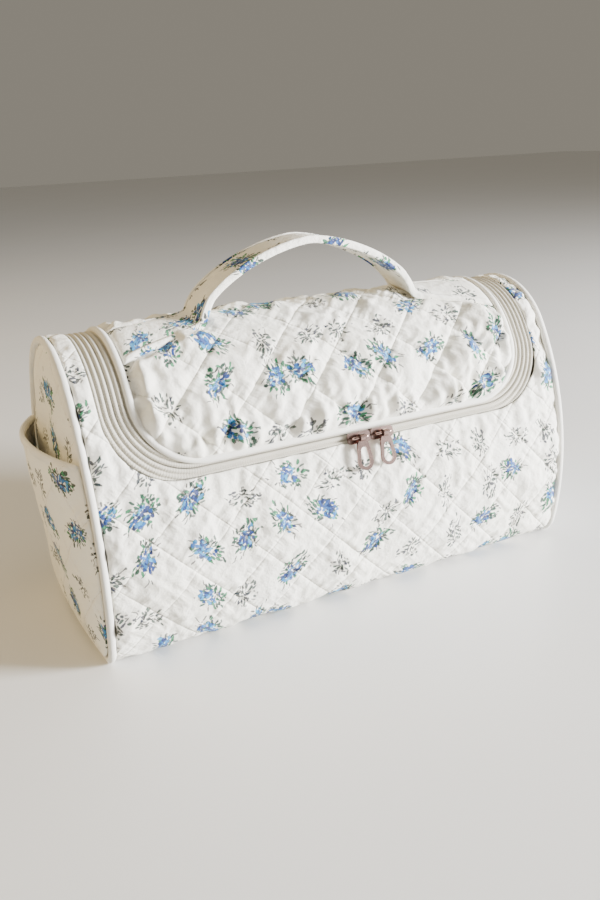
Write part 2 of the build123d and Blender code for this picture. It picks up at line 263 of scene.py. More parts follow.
def u_path(edge, step):
    """Points (x, run) along a U-shaped outline, left to right, from the fold to the fold."""
    width, bottom, corner = edge
    top = run_at(bottom + corner)
    points = []
    count = int((FOLD_RUN - top) / step)
    for i in range(count):
        points.append((-width, FOLD_RUN + (top - FOLD_RUN) * i / count))
    count = int(corner * pi / 2 / step)
    for i in range(count):
        angle = pi / 2 * i / count
        x = -(width - corner) - corner * cos(angle)
        points.append((x, run_at(bottom + corner - corner * sin(angle))))
    count = int((width - corner) / step)
    low = run_at(bottom)
    for i in range(count):
        points.append((-(width - corner) * (1 - i / count), low))
    mirrored = [(-x, run) for x, run in reversed(points)]
    return points + [(0.0, low)] + mirrored


# ---- meshes


def add_object(name, data):
    obj = bpy.data.objects.new(name, data)
    bpy.context.scene.collection.objects.link(obj)
    return obj


def make(name, points, faces, uvs):
    """Mesh object from millimetre points, with a cloth UV in metres."""
    mesh = bpy.data.meshes.new(name)
    corners = [tuple(p) for p in np.asarray(points) * MM]
    mesh.from_pydata(corners, [], [tuple(int(i) for i in f) for f in faces])
    layer = mesh.uv_layers.new(name="cloth")
    flat = np.asarray(uvs, dtype=float) * MM
    index = np.zeros(len(mesh.loops), dtype=int)
    mesh.loops.foreach_get("vertex_index", index)
    layer.data.foreach_set("uv", flat[index].ravel())
    mesh.polygons.foreach_set("use_smooth", [True] * len(mesh.polygons))
    mesh.update()
    return add_object(name, mesh)


def cut_grid(us, vs, keep):
    """Grid of points whose edge is moved on to the line keep = 0.

    Returns u, v, faces and a mask of the points on it.
    """
    u, v = np.meshgrid(us, vs, indexing="ij")
    d = keep(u, v)
    span = max(abs(us[1] - us[0]), abs(vs[1] - vs[0]))
    tiny, least_slope, snap = 0.05, 0.2, 0.52
    du = (keep(u + tiny, v) - keep(u - tiny, v)) / (2 * tiny)
    dv = (keep(u, v + tiny) - keep(u, v - tiny)) / (2 * tiny)
    norm = np.maximum(du**2 + dv**2, least_slope)
    near = np.abs(d) <= snap * span
    u = np.where(near, u - d * du / norm, u)
    v = np.where(near, v - d * dv / norm, v)
    side = np.where(near, 0, np.sign(d)).astype(int)
    rows, cols = u.shape
    faces = []
    for i in range(rows - 1):
        for j in range(cols - 1):
            ring = [(i, j), (i + 1, j), (i + 1, j + 1), (i, j + 1)]
            signs = [side[a] for a in ring]
            ids = [a * cols + b for a, b in ring]
            if max(signs) <= 0:
                continue
            if min(signs) >= 0:
                faces.append(ids)
                continue
            top = signs.index(1)
            if signs[(top + 1) % 4] >= 0 and signs[(top + 3) % 4] >= 0:
                faces.append([ids[top], ids[(top + 1) % 4], ids[(top + 3) % 4]])
    return u.ravel(), v.ravel(), faces, near.ravel()


def compact(points, faces, *extras):
    """Leaves out the points that no face uses."""
    used = np.unique(np.concatenate([np.array(f) for f in faces]))
    place = -np.ones(len(points), dtype=int)
    place[used] = np.arange(len(used))
    faces = [[place[i] for i in f] for f in faces]
    return [points[used], faces] + [e[used] for e in extras]


def ring_faces(rings, sides, closed=False):
    """Faces between rings of points, with a cap at each end unless closed."""
    faces = []
    for i in range(rings if closed else rings - 1):
        j = (i + 1) % rings
        for k in range(sides):
            m = (k + 1) % sides
            faces.append([i * sides + k, i * sides + m, j * sides + m, j * sides + k])
    if not closed:
        faces.append(list(range(sides))[::-1])
        faces.append([(rings - 1) * sides + k for k in range(sides)])
    return faces


def unit(vectors):
    return vectors / np.linalg.norm(vectors, axis=1)[:, None]


def running_length(path):
    return np.concatenate([[0], np.cumsum(np.linalg.norm(np.diff(path, axis=0), axis=1))])


def tube(name, path, radius, sides, closed=False, ripple_height=0.0, pitch=1.0):
    """Round tube along millimetre points, with an optional ripple along it."""
    path = np.asarray(path, dtype=float)
    ahead = unit(np.roll(path, -1, axis=0) - path if closed else np.gradient(path, axis=0))
    lengths = running_length(path)
    upright = abs(ahead[0][2]) > 0.9
    side = np.cross(ahead[0], (1.0, 0.0, 0.0) if upright else (0.0, 0.0, 1.0))
    points, uvs = [], []
    for p, d, length in zip(path, ahead, lengths):
        side = side - d * np.dot(side, d)
        side /= np.linalg.norm(side)
        up = np.cross(side, d)
        r = radius + ripple_height * cos(2 * pi * length / pitch)
        for k in range(sides):
            angle = 2 * pi * k / sides
            points.append(p + r * (cos(angle) * side + sin(angle) * up))
            uvs.append((length, angle * radius))
    return make(name, points, ring_faces(len(path), sides, closed), uvs)


def along_wrap(path):
    """Points on the wall at (x, run) places, with their outward and sideways directions."""
    flat = np.array(path)
    points = on_wrap(flat[:, 0], flat[:, 1], 0.0)
    _, _, ny, nz = section(flat[:, 1])
    normal = np.stack([0 * ny, ny, nz], axis=-1)
    return points, normal, np.cross(unit(np.gradient(points, axis=0)), normal)


def ribbon(name, path, profile):
    """Strip along (x, run) places: profile(i) gives (across, lift) pairs at the i-th place."""
    points, normal, across = along_wrap(path)
    lengths = running_length(points)
    verts, uvs = [], []
    for i in range(len(path)):
        cut = profile(i)
        for w, lift in cut:
            verts.append(points[i] + across[i] * w + normal[i] * lift)
            uvs.append((lengths[i], w))
    width = len(cut)
    faces = []
    for i in range(len(path) - 1):
        for k in range(width - 1):
            here, there = i * width + k, (i + 1) * width + k
            faces.append([here, here + 1, there + 1, there])
    return make(name, verts, faces, uvs)


def apply_all(obj):
    graph = bpy.context.evaluated_depsgraph_get()
    mesh = bpy.data.meshes.new_from_object(obj.evaluated_get(graph))
    obj.modifiers.clear()
    obj.data = mesh
    mesh.polygons.foreach_set("use_smooth", [True] * len(mesh.polygons))


def thicken(obj, thickness):
    """Gives a sheet its thickness, inwards, and applies it."""
    solid = obj.modifiers.new("Thickness", "SOLIDIFY")
    solid.thickness = thickness * MM
    solid.offset = -1.0
    apply_all(obj)


def subdivide(obj):
    smooth = obj.modifiers.new("Smooth", "SUBSURF")
    smooth.levels = 1
    smooth.render_levels = 1


def coordinates(obj):
    """Positions of a mesh's points, in metres."""
    flat = np.zeros(len(obj.data.vertices) * 3)
    obj.data.vertices.foreach_get("co", flat)
    return flat.reshape(-1, 3)


def add_cloth(obj, seams, slack, pressure):
    """Cloth modifier held at the seams, with no gravity and no collisions."""
    cloth = obj.modifiers.new("Quilting", "CLOTH")
    cloth.collision_settings.use_collision = False
    settings = cloth.settings
    settings.quality = 4
    settings.mass = 0.12
    settings.tension_stiffness = 12
    settings.compression_stiffness = 12
    settings.shear_stiffness = 4
    settings.bending_stiffness = 0.08
    settings.use_pressure = True
    settings.uniform_pressure_force = pressure
    settings.vertex_group_mass = seams
    settings.shrink_min = -slack
    settings.shrink_max = -slack
    settings.effector_weights.gravity = 0.0


def inflate(obj, pinned, slack, pressure, rise_cap):
    """Cloth simulation: between the pinned seams the cloth swells and wrinkles, within caps."""
    before = coordinates(obj)
    normals = np.array([v.normal[:] for v in obj.data.vertices])
    group = obj.vertex_groups.new(name="seams")
    group.add([int(i) for i in np.flatnonzero(pinned)], 1.0, "REPLACE")
    add_cloth(obj, group.name, slack, pressure)
    scene = bpy.context.scene
    for step in range(1, CLOTH_STEPS + 1):
        scene.frame_set(step)
    apply_all(obj)
    scene.frame_set(1)
    obj.vertex_groups.clear()
    moved = coordinates(obj) - before
    out = np.sum(moved * normals, axis=1)
    kept = np.clip(out, -SINK_CAP * MM, rise_cap * MM)
    slide = moved - normals * out[:, None]
    length = np.linalg.norm(slide, axis=1)
    slide *= (np.minimum(length, SLIDE_CAP * MM) / np.maximum(length, 1e-9))[:, None]
    final = before + slide + normals * kept[:, None]
    final[pinned] = before[pinned]
    obj.data.vertices.foreach_set("co", final.ravel())
    obj.data.update()


def from_seams(u, v):
    """Signed distances along u to the nearest line of quilting of each direction."""
    one = np.mod(u + v + DIAMOND / 2, DIAMOND) - DIAMOND / 2
    two = np.mod(u - v + DIAMOND / 2, DIAMOND) - DIAMOND / 2
    return one, two


def seam_distance(u, v):
    """Distance from the nearest diagonal line of quilting."""
    one, two = from_seams(u, v)
    return np.minimum(np.abs(one), np.abs(two)) / sqrt(2)


def pillow(u, v, height):
    """Height of the puffs between the quilting lines."""
    one = np.abs(np.sin(np.pi * (u + v) / DIAMOND))
    two = np.abs(np.sin(np.pi * (u - v) / DIAMOND))
    roundness = 0.4
    return height * (one * two) ** roundness


# ---- materials


def srgb(red, green, blue):
    """Colour from 0-255 screen values."""

    def linear(value):
        value /= 255
        return value / 12.92 if value <= 0.04045 else ((value + 0.055) / 1.055) ** 2.4

    return (linear(red), linear(green), linear(blue), 1.0)


def darker(colour, share):
    return tuple(part * share for part in colour[:3]) + (1.0,)


class Paint:
    """A material's node tree, with short ways to add to it."""

    def __init__(self, name):
        self.material = bpy.data.materials.new(name)
        self.material.use_nodes = True
        self.tree = self.material.node_tree
        self.shader = self.tree.nodes["Principled BSDF"]

    def node(self, kind, inputs=(), **settings):
        node = self.tree.nodes.new("ShaderNode" + kind)
        for key, value in settings.items():
            setattr(node, key, value)
        for key, value in dict(inputs).items():
            self.feed(node.inputs[key], value)
        return node

    def feed(self, socket, value):
        if isinstance(value, bpy.types.NodeSocket):
            self.tree.links.new(value, socket)
        else:
            socket.default_value = value

    def math(self, operation, first, second=0.0, third=0.0):
        inputs = {0: first, 1: second, 2: third}
        return self.node("Math", inputs, operation=operation).outputs[0]

    def times(self, first, second):
        return self.math("MULTIPLY", first, second)

    def vector(self, operation, first, second=(0, 0, 0)):
        node = self.node("VectorMath", {0: first, 1: second}, operation=operation)
        scalar = operation in ("LENGTH", "DOT_PRODUCT")
        return node.outputs["Value"] if scalar else node.outputs["Vector"]

    def scale(self, vector, factor):
        node = self.node("VectorMath", {0: vector, "Scale": factor}, operation="SCALE")
        return node.outputs["Vector"]

    def turn(self, vector, angle):
        """A vector turned about Z."""
        node = self.node("VectorRotate", {"Vector": vector, "Angle": angle}, rotation_type="Z_AXIS")
        return node.outputs["Vector"]

    def cells(self, vector, pitch, scatter):
        """Flat Voronoi cells of a pitch."""
        inputs = {"Vector": vector, "Scale": 1 / pitch, "Randomness": scatter}
        return self.node("TexVoronoi", inputs, voronoi_dimensions="2D")

    def mix(self, factor, first, second):
        inputs = {"Factor": factor, 6: first, 7: second}  # 6 and 7 are its two colours
        return self.node("Mix", inputs, data_type="RGBA").outputs[2]

    def ramp(self, factor, stops):
        node = self.node("ValToRGB", {"Fac": factor})
        ready = len(node.color_ramp.elements)
        for i, (place, colour) in enumerate(stops):
            if i < ready:
                element = node.color_ramp.elements[i]
                element.position = place
            else:
                element = node.color_ramp.elements.new(place)
            element.color = colour
        return node.outputs["Color"]

    def smooth(self, value, low, high):
        inputs = {"Value": value, "From Min": low, "From Max": high}
        return self.node("MapRange", inputs, interpolation_type="SMOOTHSTEP").outputs["Result"]

    def noise(self, vector, scale, detail=3.0):
        return self.node("TexNoise", {"Vector": vector, "Scale": scale, "Detail": detail}).outputs["Fac"]

    def cloth_mm(self):
        """Place on the cloth, in millimetres."""
        return self.scale(self.node("TexCoord").outputs["UV"], 1000.0)

    def object_mm(self):
        """Place on the object, in millimetres."""
        return self.scale(self.node("TexCoord").outputs["Object"], 1000.0)

    def bump(self, height, strength, distance):
        node = self.node("Bump", {"Height": height, "Strength": strength, "Distance": distance})
        self.tree.links.new(node.outputs["Normal"], self.shader.inputs["Normal"])

    def finish(self, colour, roughness, **more):
        self.feed(self.shader.inputs["Base Color"], colour)
        self.shader.inputs["Roughness"].default_value = roughness
        for key, value in more.items():
            self.shader.inputs[key.replace("_", " ")].default_value = value
        return self.material


def weave(paint, place, pitch):
    """Height of a plain weave, from two crossed waves of threads."""
    parts = paint.node("SeparateXYZ", {0: place})
    turn = 2 * pi / pitch
    along = paint.math("SINE", paint.times(parts.outputs["X"], turn))
    across = paint.math("SINE", paint.times(parts.outputs["Y"], turn))
    return paint.times(along, across)


def marks(paint, local, seed, pitch, size, zone, jitter, crowd):
    """Mask of small painted strokes round a motif's middle, and a random value for each stroke.

    size is half a stroke's length and width, zone its least and greatest distance from the middle,
    jitter its turn away from pointing outwards, and crowd the share of strokes painted.
    """
    flat, oval = (1.0, 1.0, 0.0), (1.0, 1.25, 0.0)
    scatter, ragged = 0.85, 0.45
    cells = paint.cells(paint.vector("ADD", local, seed), pitch, scatter)
    middle = paint.vector("SUBTRACT", cells.outputs["Position"], seed)
    offset = paint.vector("MULTIPLY", paint.vector("SUBTRACT", local, middle), flat)
    tint = paint.node("SeparateColor", {0: cells.outputs["Color"]})
    turn = paint.math("MULTIPLY_ADD", tint.outputs["Red"], 2 * jitter, -jitter)
    outward = paint.turn(paint.vector("NORMALIZE", paint.vector("MULTIPLY", middle, flat)), turn)

    long, wide = size
    along = paint.vector("DOT_PRODUCT", offset, outward)
    whole = paint.vector("LENGTH", offset)
    along_squared = paint.times(along, along)
    across_squared = paint.math("SUBTRACT", paint.times(whole, whole), along_squared)
    length_part = paint.times(along_squared, 1 / long**2)
    part = paint.math("MULTIPLY_ADD", across_squared, 1 / wide**2, length_part)
    stroke = paint.smooth(part, 1.15, 0.75)

    inner, outer = zone
    reach = paint.vector("LENGTH", paint.vector("MULTIPLY", middle, oval))
    limit = paint.math("MULTIPLY_ADD", tint.outputs["Blue"], outer * ragged, outer * (1 - ragged))
    near = paint.math("LESS_THAN", reach, limit)
    inside = paint.times(near, paint.math("GREATER_THAN", reach, inner))
    present = paint.times(inside, paint.math("LESS_THAN", tint.outputs["Green"], crowd))
    return paint.times(stroke, present), tint.outputs["Red"]


def quilting_marks(paint, place):
    """Height of the gathers that cross each line of quilting, and a mask of its stitches."""
    gather_height, gather_fade = 4.2, -0.2
    crease_depth, crease_fade = -1.5, -0.9
    folds_along, folds_across = 0.16, 0.03
    stitches_per_mm, stitch_gap, stitch_half_width = 0.26, 0.3, 0.34
    parts = paint.node("SeparateXYZ", {0: place})
    total = paint.math("ADD", parts.outputs["X"], parts.outputs["Y"])
    lean = paint.math("SUBTRACT", parts.outputs["X"], parts.outputs["Y"])
    gathers, stitches = 0.0, 0.0
    for line, along in ((total, lean), (lean, total)):
        away = paint.math("PINGPONG", line, DIAMOND / 2)
        near = paint.math("EXPONENT", paint.times(away, gather_fade))
        crease = paint.math("EXPONENT", paint.times(away, crease_fade))
        stretched = {
            "X": paint.times(along, folds_along),
            "Y": paint.times(line, folds_across),
        }
        fold = paint.noise(paint.node("CombineXYZ", stretched).outputs[0], 1.0, 2.0)
        gathers = paint.math("MULTIPLY_ADD", paint.times(fold, near), gather_height, gathers)
        gathers = paint.math("MULTIPLY_ADD", crease, crease_depth, gathers)
        phase = paint.math("FRACT", paint.times(along, stitches_per_mm))
        dash = paint.math("GREATER_THAN", phase, stitch_gap)
        stitch = paint.times(paint.math("LESS_THAN", away, stitch_half_width), dash)
        stitches = paint.math("MAXIMUM", stitch, stitches)
    return gathers, stitches


PETAL_INKS = [
    (0.0, srgb(4, 22, 70)),
    (0.3, srgb(6, 52, 122)),
    (0.6, srgb(14, 94, 162)),
    (0.88, srgb(60, 146, 194)),
]
LEAF_INKS = [(0.0, srgb(3, 14, 12)), (0.4, srgb(6, 66, 46)), (0.75, srgb(22, 124, 76))]
SPRIG_INKS = [(0.0, srgb(6, 12, 12)), (0.5, srgb(10, 56, 40)), (0.85, srgb(14, 22, 46))]
FERN_INK = srgb(8, 58, 42)
HEART_INK = srgb(12, 26, 84)
DARK_INK = srgb(8, 15, 14)
THREAD = srgb(188, 180, 160)
MOTIF_SPACING = 24.5
MOTIF_SCATTER = 0.5
BUNCH_FROM = 0.45  # of a motif's random value: below it the motif is a sprig
BRUSH_WANDER = ((0.9, 0.6), (0.12, 4.5))  # fineness and amount


def motifs(paint, place):
    """Place within the nearest motif, its random values, and a seed of its own."""
    shifted = place
    for fineness, amount in BRUSH_WANDER:
        inputs = {"Vector": place, "Scale": fineness, "Detail": 1.0}
        wander = paint.vector("SUBTRACT", paint.node("TexNoise", inputs).outputs["Color"], (0.5, 0.5, 0.5))
        shifted = paint.vector("ADD", shifted, paint.scale(wander, amount))
    cells = paint.cells(place, MOTIF_SPACING, MOTIF_SCATTER)
    local = paint.vector("SUBTRACT", shifted, cells.outputs["Position"])
    tint = paint.node("SeparateColor", {0: cells.outputs["Color"]})
    local = paint.turn(local, paint.times(tint.outputs["Red"], 2 * pi))
    local = paint.vector("MULTIPLY", local, (0.86, 1.14, 0.0))
    return local, tint, paint.scale(cells.outputs["Color"], 90.0)


def print_motifs(paint, place, ground):
    """Colour of the ground with blue bunches and grey-green sprigs painted over it."""
    local, tint, seed = motifs(paint, place)
    leafy = paint.vector("ADD", local, (2.0, 1.2, 0.0))
    bunch = paint.math("GREATER_THAN", tint.outputs["Green"], BUNCH_FROM)
    sprig = paint.math("SUBTRACT", 1.0, bunch)

    def strokes(number, where, *shape):
        own_seed = paint.vector("ADD", seed, (number * 7.3, number * 4.1, 0.0))
        return marks(paint, where, own_seed, *shape)

    petal, petal_tint = strokes(1, local, 1.8, (1.15, 0.95), (0.0, 6.9), 1.5, 0.95)
    heart, _ = strokes(2, local, 1.9, (0.62, 0.45), (0.0, 6.0), 1.5, 0.6)
    leaf, leaf_tint = strokes(3, leafy, 2.3, (1.6, 0.72), (2.4, 10.5), 0.8, 0.94)
    twig, _ = strokes(4, local, 2.7, (1.6, 0.36), (4.0, 11.4), 0.7, 0.72)
    small, small_tint = strokes(5, local, 2.2, (1.3, 0.62), (0.0, 9.0), 0.9, 0.8)
    stem, _ = strokes(6, local, 2.6, (1.6, 0.34), (0.0, 9.0), 0.6, 0.68)
    bud, _ = strokes(7, local, 1.7, (0.6, 0.5), (1.5, 9.0), 1.5, 0.42)
    fern, _ = strokes(8, leafy, 2.0, (1.3, 0.5), (3.0, 9.8), 0.9, 0.75)

    colour = ground
    for mask, kind, strength, ink in (
        (twig, bunch, 0.85, DARK_INK),
        (leaf, bunch, 0.95, paint.ramp(leaf_tint, LEAF_INKS)),
        (fern, bunch, 0.85, FERN_INK),
        (stem, sprig, 0.85, DARK_INK),
        (small, sprig, 0.9, paint.ramp(small_tint, SPRIG_INKS)),
        (bud, None, 0.7, DARK_INK),
        (petal, bunch, 0.95, paint.ramp(petal_tint, PETAL_INKS)),
        (heart, bunch, 0.8, HEART_INK),
    ):
        if kind is not None:
            mask = paint.times(mask, kind)
        colour = paint.mix(paint.times(mask, strength), colour, ink)
    return colour


def printed_cotton(name, base, quilted=True):
    """Off-white cotton printed with small motifs, gathered and stitched where it is quilted."""
    paint = Paint(name)
    place = paint.cloth_mm()
    patch = paint.noise(place, 0.02, 2.0)
    shade = (base[0] * 0.955, base[1] * 0.95, base[2] * 0.925, 1.0)
    colour = print_motifs(paint, place, paint.mix(paint.smooth(patch, 0.3, 0.7), base, shade))
    gather, stitch = quilting_marks(paint, place) if quilted else (0.0, 0.0)
    colour = paint.mix(paint.times(stitch, 0.35), colour, THREAD)
    crinkle = paint.math("MULTIPLY_ADD", paint.noise(place, 0.22, 4.0), 1.8, gather)
    height = paint.math("MULTIPLY_ADD", weave(paint, place, 0.7), 0.08, crinkle)
    paint.bump(height, 0.7, 0.0010)
    return paint.finish(colour, 0.82, Sheen_Weight=0.12, Sheen_Roughness=0.5)


def plain_cotton(name, base, pitch, ribs=0.0):
    """Plain off-white cotton or tape, with optional ribs across its length."""
    paint = Paint(name)
    place = paint.cloth_mm()
    patch = paint.noise(place, 0.06, 3.0)
    colour = paint.mix(paint.smooth(patch, 0.25, 0.75), base, darker(base, 0.9))
    height = weave(paint, place, pitch)
    if ribs:
        parts = paint.node("SeparateXYZ", {0: place})
        rib = paint.math("SINE", paint.times(parts.outputs["X"], 2 * pi / ribs))
        height = paint.math("ADD", height, rib)
    height = paint.math("MULTIPLY_ADD", paint.noise(place, 0.5, 3.0), 1.5, height)
    paint.bump(height, 0.4, 0.0004)
    return paint.finish(colour, 0.78, Sheen_Weight=0.1, Sheen_Roughness=0.5)


def nylon(name, base):
    """Satin nylon of the zip's coil."""
    paint = Paint(name)
    place = paint.cloth_mm()
    colour = paint.mix(paint.noise(place, 0.2), base, darker(base, 0.86))
    paint.bump(paint.noise(place, 1.2), 0.2, 0.0002)
    return paint.finish(colour, 0.42)


def plated(name, base):
    """Bright plated metal with fine rubbing."""
    paint = Paint(name)
    rubbed = paint.noise(paint.object_mm(), 0.35, 3.0)
    colour = paint.mix(paint.smooth(rubbed, 0.35, 0.75), base, darker(base, 0.82))
    paint.bump(rubbed, 0.08, 0.0002)
    return paint.finish(colour, 0.2, Metallic=1.0)


def counter_paint():
    """Pale stone of the counter, faintly uneven."""
    paint = Paint("counter")
    place = paint.scale(paint.node("TexCoord").outputs["Object"], 6.0)
    colour = paint.mix(paint.noise(place, 1.0), srgb(222, 221, 219), srgb(228, 227, 225))
    return paint.finish(colour, 0.35)


COTTON = srgb(243, 240, 230)
PRINT = printed_cotton("quilted print", COTTON)
STRAP_PRINT = printed_cotton("strap print", COTTON, quilted=False)
TRIM = plain_cotton("piping cotton", srgb(242, 239, 230), 0.9)
# The zip tape's greyish beige is partly its own colour and partly painted shade, matched to the band's
# shaded side
TAPE_GREY_AND_SHADE = plain_cotton("zip tape", srgb(198, 192, 177), 0.9, ribs=1.3)
LINING = plain_cotton("lining cotton", srgb(230, 222, 205), 1.0)
COIL = nylon("zip coil", srgb(234, 229, 217))
METAL = plated("plated metal", srgb(164, 138, 131))


def dress(obj, material):
    obj.data.materials.clear()
    obj.data.materials.append(material)


def finish_cover(obj):
    """Makes a sheet into printed quilted fabric."""
    thicken(obj, FABRIC)
    subdivide(obj)
    dress(obj, PRINT)


# ---- covering of the body and lid


def bulge(x, run):
    """The walls swell a little between the two ends, and lie flat on the floor."""
    _, z, _, _ = section(run)
    middle = 1 - np.clip(np.abs(x) / WRAP_END, 0, 1) ** 4
    swell = 2.8 - 2.0 * grow(z, 110, 30)
    return swell * middle * grow(z, 2, 40) ** 0.8


def ripple(place, seed):
    """Smooth uneven wave of a distance in millimetres, between about -1 and 1."""
    first = np.sin(0.62 * place + 2.1 * np.sin(0.071 * place + seed) + seed)
    second = np.sin(0.97 * place + 1.7 * np.sin(0.113 * place + 2 * seed))
    return 0.6 * first + 0.4 * second


def seam_folds(size, place, seed, away):
    """Folds along a seam that fade with the distance away from it."""
    height, reach = size
    return height * ripple(place, seed) * np.exp(-np.abs(away) / reach)


def gathers(u, v, edge, side):
    """Small folds that run square to the seams, over a slow unevenness of the filling."""
    one, two = from_seams(u, v)
    folds = seam_folds(QUILT_FOLD, u - v, 0.4, one)
    folds += seam_folds(QUILT_FOLD, u + v, 1.9, two)
    folds += seam_folds(ZIP_FOLD, u * 0.8, 3.1, edge)
    folds += seam_folds(PIPING_FOLD, v * 0.7, 4.4, side)
    slow = np.sin(u / 11 + 1.6 * np.sin(v / 17)) * np.sin(v / 13 + 1.4 * np.sin(u / 19))
    return folds + SLOW_WAVE * slow


def clear_of_tabs(x, run):
    """1 away from the strap's sewn ends, and 0 under them, where they press the quilting flat."""
    y, z, _, _ = section(run)
    tab_y = HANDLE_Y - tan(TAB_TURN) * np.maximum(np.abs(x) - TAB_INNER_X, 0)
    tab_middle, tab_half_length, tab_half_width = 87, 23, 9
    beside = grow(np.abs(y - tab_y), tab_half_width, 7)
    beyond = grow(np.abs(np.abs(x) - tab_middle), tab_half_length, 8)
    return np.where(z > 120, np.maximum(beside, beyond), 1.0)


def looseness(x, run):
    """How freely the cloth may swell: less under the hanging pulls, and not at all at the fold."""
    _, z, _, _ = section(run)
    from_zip = outside_u(x, run, CHAIN)
    below_zip = (from_zip > 0) * (z < CHAIN_HEIGHT + 8)
    free = 1 - PULL_CALM * np.exp(-((from_zip / PULL_REACH) ** 2)) * below_zip
    from_fold = grow(np.abs(run - FOLD_RUN), 0, FOLD_REACH) ** 1.3
    beside_lid = grow(np.abs(x), BODY_TRIM[0], 4)
    return free * np.maximum(from_fold, beside_lid)


def quilt_lift(x, run, edge, side, quilt):
    """Lift of the quilted cloth off the wall, before the simulation.

    edge is the distance from the cloth's cut edge, side the distance from the bag's end.
    """
    _, z, _, _ = section(run)
    off_floor = grow(z, 1.0, 14)
    over_top = 1 - 0.55 * grow(z, 128, 18)
    hem = grow(edge, 0, 7) ** 0.8
    taper = grow(side, 0, 6) ** 0.6
    lift = bulge(x, run) * taper
    lift += off_floor * over_top * (pillow(x, run, quilt["puff"]) - 0.8) * hem * taper
    lift += off_floor * over_top * quilt["creasing"] * gathers(x, run, edge, side) * hem
    lift *= looseness(x, run)
    clear = clear_of_tabs(x, run)
    pressed = 0.5
    return lift * clear - pressed * (1 - clear)


def grid_runs(low, high):
    return np.arange(int(low / GRID), int(high / GRID)) * GRID


def wrap_sheet(name, keep, half_x, runs, quilt, dip=0.0):
    """Quilted sheet over part of the wall, with a dip of its own along its cut edge."""
    columns = int(half_x / GRID)
    half_x = columns * GRID
    xs = np.arange(-columns, columns + 1) * GRID
    u, v, faces, on_edge = cut_grid(xs, runs, keep)
    _, z, _, _ = section(v)
    edge = np.abs(keep(u, v))
    lift = quilt_lift(u, v, edge, half_x - np.abs(u), quilt)
    lift -= dip * np.exp(-((edge / 3.2) ** 2)) * (z < HEIGHT - 8)
    pinned = (seam_distance(u, v) < 0.3) | on_edge | (z < 1.0) | (np.abs(u) > half_x - 0.1)
    uv = np.stack([u, v], axis=-1)
    points = on_wrap(u, v, lift)
    points, faces, pinned, uv, free = compact(points, faces, pinned, uv, looseness(u, v))
    obj = make(name, points, faces, uv)
    inflate(obj, pinned, quilt["slack"], quilt["pressure"], quilt["cap"] * free)
    return obj


def body_cover():
    runs = np.append(grid_runs(0.0, GIRTH), GIRTH)
    obj = wrap_sheet("body_cover", outside_opening(BODY_TRIM), WRAP_END, runs, BODY_QUILT)
    finish_cover(obj)
    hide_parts("body_outer", "body_wadding")
    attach(obj, "bag_body")


def lid_cover():
    def keep(x, run):
        return np.minimum(-outside_u(x, run, LID_EDGE), FOLD_RUN - run)

    runs = grid_runs(run_at(LID_EDGE[1]) - GRID, FOLD_RUN + 2 * GRID)
    half_x = LID_EDGE[0] + 1.2 * GRID
    cord_dip = 1.6
    obj = wrap_sheet("lid_cover", keep, half_x, runs, LID_QUILT, cord_dip)
    finish_cover(obj)
    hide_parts("lid_outer", "lid_wadding")
    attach(obj, "lid")


def edge_cords():
    """Rolled off-white edge of the lid, and the piping round both ends."""
    path = np.array(u_path(LID_EDGE, 1.5)[2:-2])  # stops just short of the fold
    points = on_wrap(path[:, 0], path[:, 1], 0.2)
    cord = tube("lid_edge_roll", points, LID_ROLL_RADIUS, 10)
    dress(cord, TRIM)
    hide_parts("lid_edge_binding")
    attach(cord, "lid")
    runs = np.linspace(0, GIRTH, 240, endpoint=False)
    for side, word in ENDS:
        points = on_wrap(np.full(len(runs), side * PIPING_X), runs, -0.9)
        points[:, 2] = np.maximum(points[:, 2], PIPING_RADIUS)
        cord = tube(word + "_piping_cord", points, PIPING_RADIUS, 12, closed=True)
        dress(cord, TRIM)
        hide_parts(word + "_piping")
        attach(cord, "bag_body")


# ---- zip


def tape_profile(sign, reach):
    """Ribbed cross-section of a tape. The body's tape, sign 1, dips under the printed fabric."""

    def profile(i):
        cut = []
        for k in range(TAPE_STEPS + 1):
            w = TAPE_GAP + (reach[i] - TAPE_GAP) * k / TAPE_STEPS
            rib = abs(sin(pi * w / RIB)) ** 0.65
            under = min(1.0, max(0.0, (w - reach[i] + 2.2) / 1.2)) if sign > 0 else 0.0
            lift = -TAPE_DEPTH + RIB_HEIGHT * rib * (1 - under) - RIB_HEIGHT * under
            cut.append((sign * w, lift))
        return cut if sign > 0 else cut[::-1]

    return profile


def zip_band():
    """Woven tapes with raised ribs, and the two rows of coil."""
    path = u_path(CHAIN, 1.2)
    across, runs = np.array(path).T
    body_reach = np.abs(outside_u(across, runs, BODY_TRIM)) + BODY_TUCK
    lid_reach = np.abs(outside_u(across, runs, LID_EDGE)) + LID_TUCK
    chain, normal, aside = along_wrap(u_path(CHAIN, 0.35))
    for word, body, sign, reach in (("body", "bag_body", 1, body_reach), ("lid", "lid", -1, lid_reach)):
        strip = ribbon(word + "_tape", path, tape_profile(sign, reach))
        thicken(strip, TAPE_THICKNESS)
        dress(strip, TAPE_GREY_AND_SHADE)
        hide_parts(word + "_zip_tape")
        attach(strip, body)
        points = chain + aside * sign * COIL_OUT - normal * COIL_DEPTH
        coil = tube(word + "_coil", points, COIL_RADIUS, 7, ripple_height=0.18, pitch=1.4)
        dress(coil, COIL)
        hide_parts(word + "_zip_coil")
        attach(coil, body)


# ---- ends and pockets


